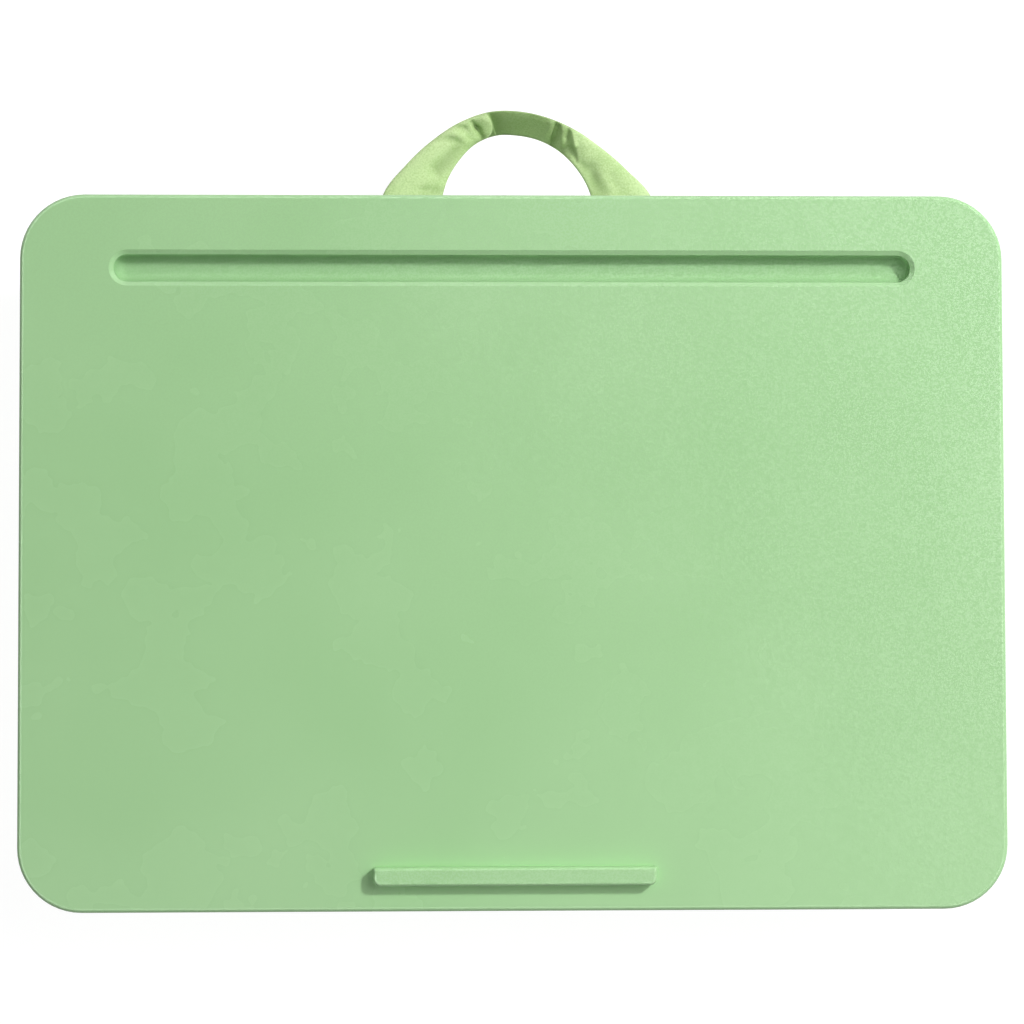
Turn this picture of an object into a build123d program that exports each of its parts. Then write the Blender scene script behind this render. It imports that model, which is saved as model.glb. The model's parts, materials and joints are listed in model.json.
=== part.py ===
from build123d import *
import math
import os

# Storage lap desk. Millimetres. X runs to the user's right, Y away from the user, Z up.
# The origin is the centre of the cushion's flat underside, which rests on the lap.

# ---------------------------------------------------------------- driving dimensions
# deck: the moulded working top, which is the lid of the storage tray
deck_length = 445.0
deck_depth = 323.0
deck_corner_radius = 29.0
deck_plate = 2.5
deck_edge_radius = 2.0
brim_height = 9.0
brim_wall = 2.5
brim_lower_radius = 0.6
brim_root_radius = 1.2

# groove near the rear edge that holds a phone or a tablet upright
slot_length = 361.0
slot_width = 12.4
slot_depth = 9.0
slot_from_rear_edge = 33.4
slot_lead_in_width = 2.0
slot_lead_in_depth = 1.5
slot_floor_radius = 5.0
slot_trough_wall = 2.2

# ledge near the front edge that stops a device from sliding off
ledge_length = 127.0
ledge_width = 8.3
ledge_height = 7.3
ledge_from_front_edge = 11.7
ledge_front_corner_radius = 3.3
ledge_rear_corner_radius = 1.2
ledge_top_radius = 1.6
ledge_seat_depth = 0.5
ledge_peg_radius = 1.8
ledge_peg_count = 3
ledge_peg_pitch = 45.0

# stiffening under the deck
rib_width = 1.6
rib_height = 4.0
rib_columns = 3
rib_column_pitch = 104.0
rib_rows = 2
rib_row_pitch = 84.0
rib_row_centre_y = -22.0
lip_width = 1.8
lip_height = 3.5
lip_rear_gap = 50.0

# storage tray
tray_overhang = 12.0
tray_wall = 2.2
tray_floor = 2.5
tray_height = 37.3
tray_floor_radius = 3.0
tray_base_radius = 1.5
screw_pad_radius = 5.5

# removable divider
divider_thickness = 2.0
divider_height = 24.0
pen_space_width = 103.3
guide_rib_width = 2.0
guide_rib_reach = 4.0

# hinges
hinge_inset = 70.5
pin_radius = 1.25
pin_head_radius = 2.2
pin_head_length = 1.0
knuckle_radius = 3.5
hinge_offset_rear = 4.25
hinge_below_deck = 5.0
lid_knuckle_length = 30.0
tray_knuckle_length = 14.0

# magnetic catch
magnet_radius = 5.0
magnet_length = 3.0
magnet_boss_wall = 2.0
magnet_cover = 1.2
magnet_gap = 0.5
catch_inset = 11.0
strike_radius = 6.0
strike_thickness = 1.0
strike_shelf_margin = 2.5
strike_shelf_height = 8.0
strike_screw_radius = 1.25
strike_screw_head_radius = 2.3
strike_screw_length = 6.5

# rubber strips on the tray's rim
bumper_length = 18.0
bumper_width = 1.6
bumper_height = 0.45

# cushion
board_inset = 3.5
board_thickness = 6.0
board_corner_radius = 24.0
cushion_depth = 37.0
cushion_bulge = 5.0
cushion_bottom_radius = 13.0
fabric_thickness = 1.2
hem_width = 15.0
seam_height = 6.0
neck_step = 0.4

# wood screws that hold the tray to the cushion board
screw_shank_radius = 1.75
screw_head_radius = 3.6
screw_head_height = 2.2
screw_point = 2.0
screw_grip = 4.6
screw_inset_x = 22.0
screw_inset_y = 14.5

# staples that hold the cover's hem to the board
staple_crown = 10.0
staple_wire = 0.6
staple_leg = 5.0
staple_inset = 7.5
staples_long_side = 8
staples_short_side = 5

# handle: a padded strap sewn to two flat tabs
handle_centre_x = 2.5
tab_pitch = 97.4
tab_width = 28.0
tab_thickness = 2.4
tab_grip = 24.0
handle_standoff = 1.8
strap_thickness = 4.0
strap_reach = 53.8
strap_crown_width = 12.5
strap_shoulder_reach = 14.0
shoulder_lean = 0.75
sleeve_wall = 0.8

# clearances
seat_gap = 0.05
fit_gap = 0.15
soft_gap = 0.3
hinge_side_gap = 0.4
pin_press_gap = 0.02
pin_running_gap = 0.06
lip_gap = 0.8
strap_root_gap = 0.4

half_turn = 180

# ---------------------------------------------------------------- levels, from the ground up
board_low_z = cushion_depth
board_high_z = board_low_z + board_thickness
tray_low_z = board_high_z + fabric_thickness
tray_floor_z = tray_low_z + tray_floor
tray_rim_z = tray_low_z + tray_height
plate_low_z = tray_rim_z + bumper_height + seat_gap
deck_top_z = plate_low_z + deck_plate
brim_low_z = deck_top_z - brim_height
slot_floor_z = deck_top_z - slot_depth
tab_low_z = tray_low_z - tab_thickness
strap_mid_z = tray_low_z - tab_thickness / 2

# ---------------------------------------------------------------- plan sizes
tray_length = deck_length - 2 * tray_overhang
tray_depth = deck_depth - 2 * tray_overhang
tray_corner_radius = deck_corner_radius - tray_overhang
tray_rear_y = tray_depth / 2
tray_inner_x = tray_length / 2 - tray_wall
tray_inner_y = tray_depth / 2 - tray_wall
divider_x = tray_inner_x - pen_space_width
slot_y = deck_depth / 2 - slot_from_rear_edge
ledge_y = -deck_depth / 2 + ledge_from_front_edge + ledge_width / 2
hinge_x = tray_length / 2 - hinge_inset
hinge_y = tray_rear_y + hinge_offset_rear
hinge_z = plate_low_z - hinge_below_deck
catch_x = tray_inner_x - catch_inset
catch_y = -tray_inner_y + catch_inset
magnet_low_z = plate_low_z - magnet_length - magnet_cover
strike_top_z = magnet_low_z - magnet_gap
strike_low_z = strike_top_z - strike_thickness
board_length = tray_length - 2 * board_inset
board_depth = tray_depth - 2 * board_inset
neck_length = board_length + 2 * fabric_thickness
neck_depth = board_depth + 2 * fabric_thickness
neck_corner_radius = board_corner_radius + fabric_thickness
cushion_length = neck_length + 2 * cushion_bulge
cushion_width = neck_depth + 2 * cushion_bulge
cushion_corner_radius = neck_corner_radius + cushion_bulge
tab_inner_y = board_depth / 2 - tab_grip
handle_axis_y = cushion_width / 2 + handle_standoff
knuckle_pitch = (lid_knuckle_length + tray_knuckle_length) / 2 + hinge_side_gap


# ---------------------------------------------------------------- shared shapes
def slab(length, depth, radius, low_z, high_z):
    """Upright plate with rounded corners, centred on the Z axis."""
    outline = RectangleRounded(length, depth, radius)
    return Pos(0, 0, low_z) * extrude(outline, high_z - low_z)


def block(low, high):
    """Box between two opposite corners."""
    size = [b - a for a, b in zip(low, high)]
    middle = [(a + b) / 2 for a, b in zip(low, high)]
    return Pos(*middle) * Box(*size)


def rod(x, y, low_z, high_z, radius):
    """Upright cylinder."""
    return Pos(x, y, (low_z + high_z) / 2) * Cylinder(radius, high_z - low_z)


def x_rod(x, y, z, length, radius):
    """Cylinder lying along X, centred on a point."""
    return Pos(x, y, z) * Rot(0, half_turn / 2, 0) * Cylinder(radius, length)


def edges_at(solid, z):
    """Edges of a solid that lie flat at one height."""
    return [e for e in solid.edges() if abs(e.bounding_box().min.Z - z) < 1e-4
            and abs(e.bounding_box().max.Z - z) < 1e-4]


def save(node, shape):
    """Write one sub-part."""
    export_step(shape, f"parts/{node}.step")


# ---------------------------------------------------------------- deck lid
def slot_form(growth, low_z, high_z):
    """Groove body: round-ended in plan, with a rounded foot all round its floor."""
    plan = SlotOverall(slot_length + 2 * growth, slot_width + 2 * growth)
    body = Pos(0, slot_y, low_z) * extrude(plan, high_z - low_z)
    return fillet(edges_at(body, low_z), slot_floor_radius + growth)


def slot_lead_in():
    """Sloping rim around the groove's mouth."""
    length = slot_length + 2 * slot_lead_in_width
    width = slot_width + 2 * slot_lead_in_width
    slope = math.degrees(math.atan2(slot_lead_in_width, slot_lead_in_depth))
    mouth = extrude(SlotOverall(length, width), slot_lead_in_depth, taper=slope)
    return Pos(0, slot_y, deck_top_z) * Rot(half_turn, 0, 0) * mouth


def ledge_outline(growth):
    """Plan of the ledge: large corners to the front, small ones to the rear."""
    sheet = Rectangle(ledge_length + 2 * growth, ledge_width + 2 * growth)
    front = sheet.vertices().group_by(Axis.Y)[0]
    sheet = fillet(front, ledge_front_corner_radius + growth)
    rear = sheet.vertices().group_by(Axis.Y)[-1]
    sheet = fillet(rear, ledge_rear_corner_radius + growth)
    return Pos(0, ledge_y) * sheet


def ledge_peg_places():
    """X positions of the ledge's pegs."""
    middle = (ledge_peg_count - 1) / 2
    return [(i - middle) * ledge_peg_pitch for i in range(ledge_peg_count)]


def deck_shell():
    """Working surface with its turned-down brim."""
    outer = slab(deck_length, deck_depth, deck_corner_radius, brim_low_z, deck_top_z)
    outer = fillet(edges_at(outer, deck_top_z), deck_edge_radius)
    outer = fillet(edges_at(outer, brim_low_z), brim_lower_radius)
    inner = slab(deck_length - 2 * brim_wall, deck_depth - 2 * brim_wall,
                 deck_corner_radius - brim_wall, brim_low_z - brim_height, plate_low_z)
    inner = fillet(edges_at(inner, plate_low_z), brim_root_radius)
    return outer - inner


def rib_grid():
    """Crossed ribs under the deck, between the front lip and the groove."""
    low_z = plate_low_z - rib_height
    front_y = -tray_inner_y + lip_gap + lip_width
    rear_y = slot_y - slot_width / 2
    side_x = tray_inner_x - lip_gap - lip_width
    column_middle = (rib_columns - 1) / 2
    row_middle = (rib_rows - 1) / 2
    ribs = []
    for i in range(rib_columns):
        x = (i - column_middle) * rib_column_pitch
        ribs.append(block((x - rib_width / 2, front_y, low_z), (x + rib_width / 2, rear_y, plate_low_z)))
    for i in range(rib_rows):
        y = rib_row_centre_y + (i - row_middle) * rib_row_pitch
        ribs.append(block((-side_x, y - rib_width / 2, low_z), (side_x, y + rib_width / 2, plate_low_z)))
    return ribs


def locating_lip():
    """Lip just inside the tray's front and side walls. It stops short of the hinged side."""
    length = 2 * (tray_inner_x - lip_gap)
    depth = 2 * (tray_inner_y - lip_gap)
    radius = tray_corner_radius - tray_wall - lip_gap
    low_z = plate_low_z - lip_height
    ring = slab(length, depth, radius, low_z, plate_low_z)
    ring -= slab(length - 2 * lip_width, depth - 2 * lip_width, radius - lip_width, low_z, plate_low_z)
    rear = block((-length, tray_inner_y - lip_rear_gap, low_z), (length, tray_rear_y, plate_low_z))
    return ring - rear


def lid_knuckle(x):
    """Hinge barrel under the deck, with the web that carries it."""
    barrel = x_rod(x, hinge_y, hinge_z, lid_knuckle_length, knuckle_radius)
    half = lid_knuckle_length / 2
    web = block((x - half, hinge_y - knuckle_radius, hinge_z),
                (x + half, hinge_y + knuckle_radius, plate_low_z))
    return barrel + web


def deck_lid():
    lid = deck_shell()
    trough_floor_z = slot_floor_z - slot_trough_wall
    lid += slot_form(slot_trough_wall, trough_floor_z, plate_low_z)
    lid += rib_grid()
    lid += locating_lip()
    boss_radius = magnet_radius + magnet_boss_wall
    for side in (-1, 1):
        lid += rod(side * catch_x, catch_y, magnet_low_z, plate_low_z, boss_radius)
        lid += lid_knuckle(side * hinge_x)
    lid -= slot_form(0, slot_floor_z, deck_top_z + slot_depth)
    lid -= slot_lead_in()
    lid -= Pos(0, 0, deck_top_z - ledge_seat_depth) * extrude(ledge_outline(seat_gap), deck_plate)
    for x in ledge_peg_places():
        lid -= rod(x, ledge_y, plate_low_z - deck_plate, deck_top_z, ledge_peg_radius + fit_gap / 2)
    for side in (-1, 1):
        pocket_top_z = magnet_low_z + magnet_length + seat_gap
        lid -= rod(side * catch_x, catch_y, magnet_low_z - magnet_gap, pocket_top_z,
                   magnet_radius + seat_gap)
        lid -= x_rod(side * hinge_x, hinge_y, hinge_z, 2 * lid_knuckle_length,
                     pin_radius + pin_running_gap)
    return lid


def device_ledge():
    """Raised bar, seated in a shallow recess, with pegs through the deck."""
    seat_z = deck_top_z - ledge_seat_depth
    bar = Pos(0, 0, seat_z) * extrude(ledge_outline(0), ledge_height + ledge_seat_depth)
    bar = fillet(edges_at(bar, deck_top_z + ledge_height), ledge_top_radius)
    for x in ledge_peg_places():
        bar += rod(x, ledge_y, plate_low_z, seat_z + ledge_height / 2, ledge_peg_radius)
    return bar


def lid_magnets():
    top_z = magnet_low_z + magnet_length
    return [rod(side * catch_x, catch_y, magnet_low_z, top_z, magnet_radius) for side in (-1, 1)]


# ---------------------------------------------------------------- storage tray
def floor_screw_places():
    """Plan positions of the wood screws through the tray's floor."""
    x = board_length / 2 - screw_inset_x
    y = board_depth / 2 - screw_inset_y
    return [(-x, -y), (0, -y), (x, -y), (-x, 0), (x, 0), (-x, y), (x, y)]


def tab_screw_places():
    """Plan positions of the wood screws that also clamp the handle's tabs."""
    y = board_depth / 2 - screw_inset_y
    return [(handle_centre_x + side * tab_pitch / 2, y) for side in (-1, 1)]


def screw_places():
    """Plan positions of all the wood screws."""
    return floor_screw_places() + tab_screw_places()


def strike_shelf(side):
    """Corner shelf that carries a strike plate."""
    reach = strike_radius + strike_shelf_margin
    inner_x = side * (catch_x - reach)
    outer_x = side * tray_length / 2
    low = (min(inner_x, outer_x), -tray_depth / 2, strike_low_z - strike_shelf_height)
    high = (max(inner_x, outer_x), catch_y + reach, strike_low_z)
    return block(low, high) & slab(tray_length, tray_depth, tray_corner_radius, tray_low_z, tray_rim_z)


def divider_guides():
    """Pairs of guide ribs on the front and rear walls that hold the divider's ends."""
    guides = []
    offset = divider_thickness / 2 + fit_gap
    top_z = tray_floor_z + divider_height
    for side in (-1, 1):
        for hand in (-1, 1):
            near_x = divider_x + hand * offset
            far_x = near_x + hand * guide_rib_width
            wall_y = side * tray_inner_y
            tip_y = side * (tray_inner_y - guide_rib_reach)
            guides.append(block((min(near_x, far_x), min(wall_y, tip_y), tray_floor_z),
                                (max(near_x, far_x), max(wall_y, tip_y), top_z)))
    return guides


def tray_knuckle(x):
    """Hinge barrel behind the tray's rear wall, with the web that carries it."""
    barrel = x_rod(x, hinge_y, hinge_z, tray_knuckle_length, knuckle_radius)
    half = tray_knuckle_length / 2
    web = block((x - half, tray_rear_y, hinge_z - knuckle_radius),
                (x + half, hinge_y, hinge_z + pin_radius))
    return barrel + web


def storage_tray():
    tray = slab(tray_length, tray_depth, tray_corner_radius, tray_low_z, tray_rim_z)
    tray = fillet(edges_at(tray, tray_low_z), tray_base_radius)
    hollow = slab(tray_length - 2 * tray_wall, tray_depth - 2 * tray_wall,
                  tray_corner_radius - tray_wall, tray_floor_z, tray_rim_z + tray_wall)
    tray -= fillet(edges_at(hollow, tray_floor_z), tray_floor_radius)
    tray += divider_guides()
    for side in (-1, 1):
        tray += strike_shelf(side)
        tray -= rod(side * catch_x, catch_y, strike_low_z - strike_screw_length, strike_low_z,
                    strike_screw_radius + pin_press_gap)
        for hand in (-1, 1):
            tray += tray_knuckle(side * hinge_x + hand * knuckle_pitch)
        bore_length = lid_knuckle_length + 3 * tray_knuckle_length
        tray -= x_rod(side * hinge_x, hinge_y, hinge_z, bore_length, pin_radius + pin_press_gap)
    for x, y in floor_screw_places():
        tray += rod(x, y, board_high_z, tray_low_z + tray_floor / 2, screw_pad_radius)
    for x, y in screw_places():
        tray -= rod(x, y, board_low_z, tray_rim_z, screw_shank_radius + fit_gap)
    return tray


def divider_panel():
    """Slide-in wall between the paper compartment and the pen compartment."""
    low_z = tray_floor_z + seat_gap
    half_depth = tray_inner_y - fit_gap
    panel = block((divider_x - divider_thickness / 2, -half_depth, low_z),
                  (divider_x + divider_thickness / 2, half_depth, tray_floor_z + divider_height))
    ends = panel.edges().filter_by(Axis.X).group_by(Axis.Z)[0]
    return chamfer(ends, tray_floor_radius)


def hinge_pin(side):
    """Headed pin through one hinge: the head stands against the outer knuckle's end."""
    middle_x = side * hinge_x
    length = 2 * knuckle_pitch + tray_knuckle_length
    shaft = x_rod(middle_x, hinge_y, hinge_z, length, pin_radius)
    head_x = middle_x + side * (length + pin_head_length) / 2
    return shaft + x_rod(head_x, hinge_y, hinge_z, pin_head_length, pin_head_radius)


def countersunk_screw(x, y):
    """Small screw with a flat sloping head, level with the strike plate's top."""
    head_z = strike_top_z - strike_thickness / 2
    slope = strike_screw_head_radius - strike_screw_radius
    head = Cone(strike_screw_radius, strike_screw_head_radius, slope)
    head = Pos(x, y, strike_top_z - slope / 2) * head
    shank_low_z = strike_top_z - strike_screw_length
    return head + rod(x, y, shank_low_z, head_z, strike_screw_radius)


def strike_plates():
    slope = strike_screw_head_radius - strike_screw_radius
    plates = []
    for side in (-1, 1):
        x = side * catch_x
        plate = rod(x, catch_y, strike_low_z, strike_top_z, strike_radius)
        plate -= rod(x, catch_y, strike_low_z, strike_top_z, strike_screw_radius + pin_press_gap)
        sink = Cone(strike_screw_radius + pin_press_gap, strike_screw_head_radius + pin_press_gap, slope)
        plate -= Pos(x, catch_y, strike_top_z - slope / 2) * sink
        plates.append(plate)
    return plates


def strike_screws():
    return [countersunk_screw(side * catch_x, catch_y) for side in (-1, 1)]


def rim_bumpers():
    """Rubber strips on the tray's rim: two on the front wall and two on each side wall."""
    wall_x = tray_length / 2 - tray_wall / 2
    wall_y = -tray_depth / 2 + tray_wall / 2
    z = tray_rim_z + bumper_height / 2
    strips = []
    for side in (-1, 1):
        front = Pos(side * tray_length / 4, wall_y, z)
        strips.append(front * Box(bumper_length, bumper_width, bumper_height))
        for end in (-1, 1):
            place = Pos(side * wall_x, end * tray_depth / 3, z)
            strips.append(place * Box(bumper_width, bumper_length, bumper_height))
    return strips


# ---------------------------------------------------------------- cushion
def cushion_form(inset, low_z, top_z):
    """Bulging cushion body, drawn in from the cover's outer surface by an inset."""
    body = slab(cushion_length - 2 * inset, cushion_width - 2 * inset,
                cushion_corner_radius - inset, low_z, top_z)
    body = fillet(edges_at(body, low_z), cushion_bottom_radius - inset)
    return fillet(edges_at(body, top_z), cushion_bulge - neck_step)


def tab_space(side, gap):
    """Room for one tab between the board and the tray."""
    x = handle_centre_x + side * tab_pitch / 2
    half = tab_width / 2 + gap
    return block((x - half, tab_inner_y - gap, tab_low_z),
                 (x + half, handle_axis_y, tray_low_z))


def cushion_board():
    board = slab(board_length, board_depth, board_corner_radius, board_low_z, board_high_z)
    for side in (-1, 1):
        board -= tab_space(side, soft_gap)
    for x, y in screw_places():
        hole_low_z = board_high_z - screw_grip - fit_gap
        board -= rod(x, y, hole_low_z, board_high_z, screw_shank_radius + pin_press_gap)
    return board


def cushion_cover():
    """Fabric cover: wraps the filling and the board's edge, and turns in over the board."""
    cover = cushion_form(0, 0, cushion_depth)
    cover += slab(neck_length, neck_depth, neck_corner_radius, cushion_depth - neck_step, tray_low_z)
    cover -= cushion_form(fabric_thickness, fabric_thickness, cushion_depth)
    cover -= slab(board_length, board_depth, board_corner_radius,
                  cushion_depth - neck_step, board_high_z)
    cover -= slab(board_length - 2 * hem_width, board_depth - 2 * hem_width,
                  board_corner_radius - hem_width / 2, board_high_z, tray_low_z)
    for side in (-1, 1):
        cover -= tab_space(side, soft_gap)
    for x, y in floor_screw_places():
        cover -= rod(x, y, board_high_z, tray_low_z, screw_pad_radius + soft_gap)
    return cover


def cut_level(shape, low_z, high_z):
    """The stretch of a shape between two heights."""
    reach = cushion_length
    return shape & block((-reach, -reach, low_z), (reach, reach, high_z))


def bead_bag():
    """Inner bag of polystyrene beads, which fills the cover up to the board."""
    inset = fabric_thickness + soft_gap
    return cushion_form(inset, inset, cushion_depth - soft_gap)


def board_screw(x, y):
    """Pan-head wood screw from the tray's floor into the board."""
    head = rod(x, y, tray_floor_z, tray_floor_z + screw_head_height, screw_head_radius)
    head = fillet(edges_at(head, tray_floor_z + screw_head_height), screw_head_height / 2)
    point_z = board_high_z - screw_grip
    shank = rod(x, y, point_z + screw_point, tray_floor_z, screw_shank_radius)
    tip = Cone(screw_shank_radius / 4, screw_shank_radius, screw_point)
    tip = Pos(x, y, point_z + screw_point / 2) * tip
    return head + shank + tip


def staple(x, y, turned):
    """Wire staple, level with the hem's top, with its legs in the board."""
    half = staple_crown / 2
    crown_low_z = tray_low_z - staple_wire
    leg_low_z = tray_low_z - staple_leg
    wire = staple_wire / 2
    shape = block((-half, -wire, crown_low_z), (half, wire, tray_low_z))
    for end in (-1, 1):
        leg_x = end * (half - wire)
        shape += block((leg_x - wire, -wire, leg_low_z), (leg_x + wire, wire, tray_low_z))
    return Pos(x, y, 0) * Rot(0, 0, half_turn / 2 if turned else 0) * shape


def cover_staples():
    """Staples along the four sides of the hem, clear of the tabs and the screws."""
    side_x = board_length / 2 - staple_inset
    side_y = board_depth / 2 - staple_inset
    staples = []
    for i in range(staples_long_side):
        x = ((i + 0.5) / staples_long_side - 0.5) * (board_length - 2 * board_corner_radius)
        clear = tab_width / 2 + staple_crown
        near_tab = min(abs(x - handle_centre_x - side * tab_pitch / 2) for side in (-1, 1))
        staples.append(staple(x, -side_y, False))
        if near_tab > clear:
            staples.append(staple(x, side_y, False))
    for i in range(staples_short_side):
        y = ((i + 0.5) / staples_short_side - 0.5) * (board_depth - 2 * board_corner_radius)
        for side in (-1, 1):
            staples.append(staple(side * side_x, y, True))
    return staples


# ---------------------------------------------------------------- handle
def handle_tab(side):
    """Flat sewn end of the handle, clamped between the tray and the board."""
    x = handle_centre_x + side * tab_pitch / 2
    half = tab_width / 2
    tab = block((x - half, tab_inner_y, tab_low_z), (x + half, handle_axis_y, tray_low_z))
    root_radius = strap_thickness / 2 + strap_root_gap
    tab -= x_rod(x, handle_axis_y, strap_mid_z, 2 * tab_width, root_radius)
    for hole_x, hole_y in tab_screw_places():
        tab -= rod(hole_x, hole_y, tab_low_z, tray_low_z, screw_shank_radius + fit_gap)
    return tab


def strap_outline(inset, start):
    """Plan of the strap: parallel at its two feet, drawn in to a narrow crown."""
    outer = tab_pitch / 2 + tab_width / 2 - inset
    inner = tab_pitch / 2 - tab_width / 2 + inset
    crown = strap_reach - inset
    crown_inner = strap_reach - strap_crown_width + inset
    shoulder = strap_shoulder_reach
    rear = Spline([(-outer, shoulder), (0, crown), (outer, shoulder)],
                  tangents=[(shoulder_lean, 1), (1, 0), (shoulder_lean, -1)])
    front = EllipticalCenterArc((0, shoulder), inner, crown_inner - shoulder,
                                start_angle=0, arc_size=half_turn)
    sides = [
        Line((-outer, start), (-outer, shoulder)),
        rear,
        Line((outer, shoulder), (outer, start)),
        Line((outer, start), (inner, start)),
        Line((inner, start), (inner, shoulder)),
        front,
        Line((-inner, shoulder), (-inner, start)),
        Line((-inner, start), (-outer, start)),
    ]
    return Pos(handle_centre_x, handle_axis_y) * make_face(sides)


def handle_sleeve():
    """Fabric sleeve of the loop, with round ends on the line where it folds."""
    low_z = strap_mid_z - strap_thickness / 2
    loop = Pos(0, 0, low_z) * extrude(strap_outline(0, 0), strap_thickness)
    for side in (-1, 1):
        x = handle_centre_x + side * tab_pitch / 2
        loop += x_rod(x, handle_axis_y, strap_mid_z, tab_width, strap_thickness / 2)
    cavity_low_z = low_z + sleeve_wall
    cavity_height = strap_thickness - 2 * sleeve_wall
    cavity = extrude(strap_outline(sleeve_wall, sleeve_wall), cavity_height)
    return loop - Pos(0, 0, cavity_low_z) * cavity


def handle_padding():
    """Foam strip inside the sleeve."""
    inset = sleeve_wall + fit_gap
    low_z = strap_mid_z - strap_thickness / 2 + inset
    return Pos(0, 0, low_z) * extrude(strap_outline(inset, inset), strap_thickness - 2 * inset)


# ---------------------------------------------------------------- write the sub-parts
def main():
    os.makedirs("parts", exist_ok=True)
    save("deck_lid", deck_lid())
    save("device_ledge", device_ledge())
    save("lid_magnets", Compound(lid_magnets()))
    save("storage_tray", storage_tray())
    save("divider_panel", divider_panel())
    save("hinge_pin_left", hinge_pin(-1))
    save("hinge_pin_right", hinge_pin(1))
    save("strike_plates", Compound(strike_plates()))
    save("strike_screws", Compound(strike_screws()))
    save("rim_bumpers", Compound(rim_bumpers()))
    save("cushion_board", cushion_board())
    save("board_screws", Compound([board_screw(x, y) for x, y in screw_places()]))
    cover = cushion_cover()
    save("cushion_side_band", cut_level(cover, seam_height, tray_low_z))
    save("cushion_bottom_panel", cut_level(cover, 0, seam_height))
    save("bead_bag", bead_bag())
    save("cover_staples", Compound(cover_staples()))
    save("handle_tab_left", handle_tab(-1))
    save("handle_tab_right", handle_tab(1))
    save("handle_strap", handle_sleeve())
    save("handle_padding", handle_padding())


main()
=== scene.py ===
import bpy
import json
import math
import numpy as np
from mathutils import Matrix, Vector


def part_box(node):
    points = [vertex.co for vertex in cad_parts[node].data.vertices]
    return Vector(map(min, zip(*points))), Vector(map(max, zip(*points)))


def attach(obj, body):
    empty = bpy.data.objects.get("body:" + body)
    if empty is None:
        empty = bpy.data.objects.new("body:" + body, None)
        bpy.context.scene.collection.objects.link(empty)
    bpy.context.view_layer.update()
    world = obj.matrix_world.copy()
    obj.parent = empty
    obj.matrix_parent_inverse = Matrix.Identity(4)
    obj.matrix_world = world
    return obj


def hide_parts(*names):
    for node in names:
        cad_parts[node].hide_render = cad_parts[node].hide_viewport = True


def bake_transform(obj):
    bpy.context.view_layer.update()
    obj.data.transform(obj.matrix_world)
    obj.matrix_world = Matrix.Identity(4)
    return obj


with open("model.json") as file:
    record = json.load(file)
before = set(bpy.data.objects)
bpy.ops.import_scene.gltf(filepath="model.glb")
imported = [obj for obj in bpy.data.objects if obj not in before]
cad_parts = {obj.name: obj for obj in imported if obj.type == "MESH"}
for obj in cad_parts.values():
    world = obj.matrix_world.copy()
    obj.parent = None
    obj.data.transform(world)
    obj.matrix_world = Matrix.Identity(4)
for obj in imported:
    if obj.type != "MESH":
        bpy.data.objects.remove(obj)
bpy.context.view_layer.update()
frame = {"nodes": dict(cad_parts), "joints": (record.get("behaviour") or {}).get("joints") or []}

# Storage lap desk: a moulded tray with a lift-up top, on a cushion with a cloth carrying handle.
# Named sizes are millimetres unless they come from the frame, which is in metres, like every mesh.
MM = 0.001

# ---------------------------------------------------------------- sizes read from the frame
deck_low, deck_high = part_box("deck_lid")
tray_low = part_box("storage_tray")[0]
board_low, board_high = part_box("cushion_board")
cover_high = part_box("cushion_side_band")[1]
tabs = {side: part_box("handle_tab_" + side) for side in ("left", "right")}
tab_low, tab_high = tabs["left"]
tab_half = (tab_high[0] - tab_low[0]) / MM / 2
board_half = [round(size / MM, 3) for size in board_high[:2]]
swing = [j for j in frame["joints"] if j["name"] == "handle_swing"][0]["pos_m"]

# the deck's groove: its front and rear side measured from the deck's rear edge, and its depth
GROOVE_FRONT = 39.6
GROOVE_REAR = 27.2
GROOVE_DEPTH = 9.0
groove_low = (0.0, deck_high[1] - GROOVE_FRONT * MM, deck_high[2] - GROOVE_DEPTH * MM)
groove_high = (0.0, deck_high[1] - GROOVE_REAR * MM, deck_high[2])


# ---------------------------------------------------------------- node helpers
def linear(code):
    """sRGB hex colour as linear red, green, blue and an alpha of 1."""
    parts = [int(code[i:i + 2], 16) / 255 for i in (1, 3, 5)]
    return [c / 12.92 if c <= 0.04045 else ((c + 0.055) / 1.055) ** 2.4 for c in parts] + [1.0]


def add(tree, kind, inputs=None, **settings):
    """One node with its settings, and each input as a value or a link from a socket."""
    made = tree.nodes.new(kind)
    for name, value in settings.items():
        setattr(made, name, value)
    for name, value in (inputs or {}).items():
        if isinstance(value, bpy.types.NodeSocket):
            tree.links.new(value, made.inputs[name])
        else:
            made.inputs[name].default_value = value
    return made


def new_material(name, **shader):
    """A material with one Principled shader, whose constant sockets are set here."""
    material = bpy.data.materials.new(name)
    material.use_nodes = True
    tree = material.node_tree
    tree.nodes.clear()
    bsdf = add(tree, "ShaderNodeBsdfPrincipled", shader)
    out = add(tree, "ShaderNodeOutputMaterial")
    tree.links.new(bsdf.outputs["BSDF"], out.inputs["Surface"])
    return material, tree, bsdf


def maths(tree, operation, first, second=0.0, third=0.0):
    """One sum of up to three values or sockets."""
    return add(tree, "ShaderNodeMath", {0: first, 1: second, 2: third}, operation=operation).outputs[0]


def two_tones(tree, factor, dark, light, low=0.3, high=0.7):
    """Colour between two hex tones as a factor runs from low to high."""
    spread = add(tree, "ShaderNodeMapRange", {"Value": factor, "From Min": low, "From Max": high})
    mix = add(tree, "ShaderNodeMix", {"Factor": spread.outputs["Result"]}, data_type="RGBA")
    mix.inputs["A"].default_value = linear(dark)
    mix.inputs["B"].default_value = linear(light)
    return mix.outputs["Result"]


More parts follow.
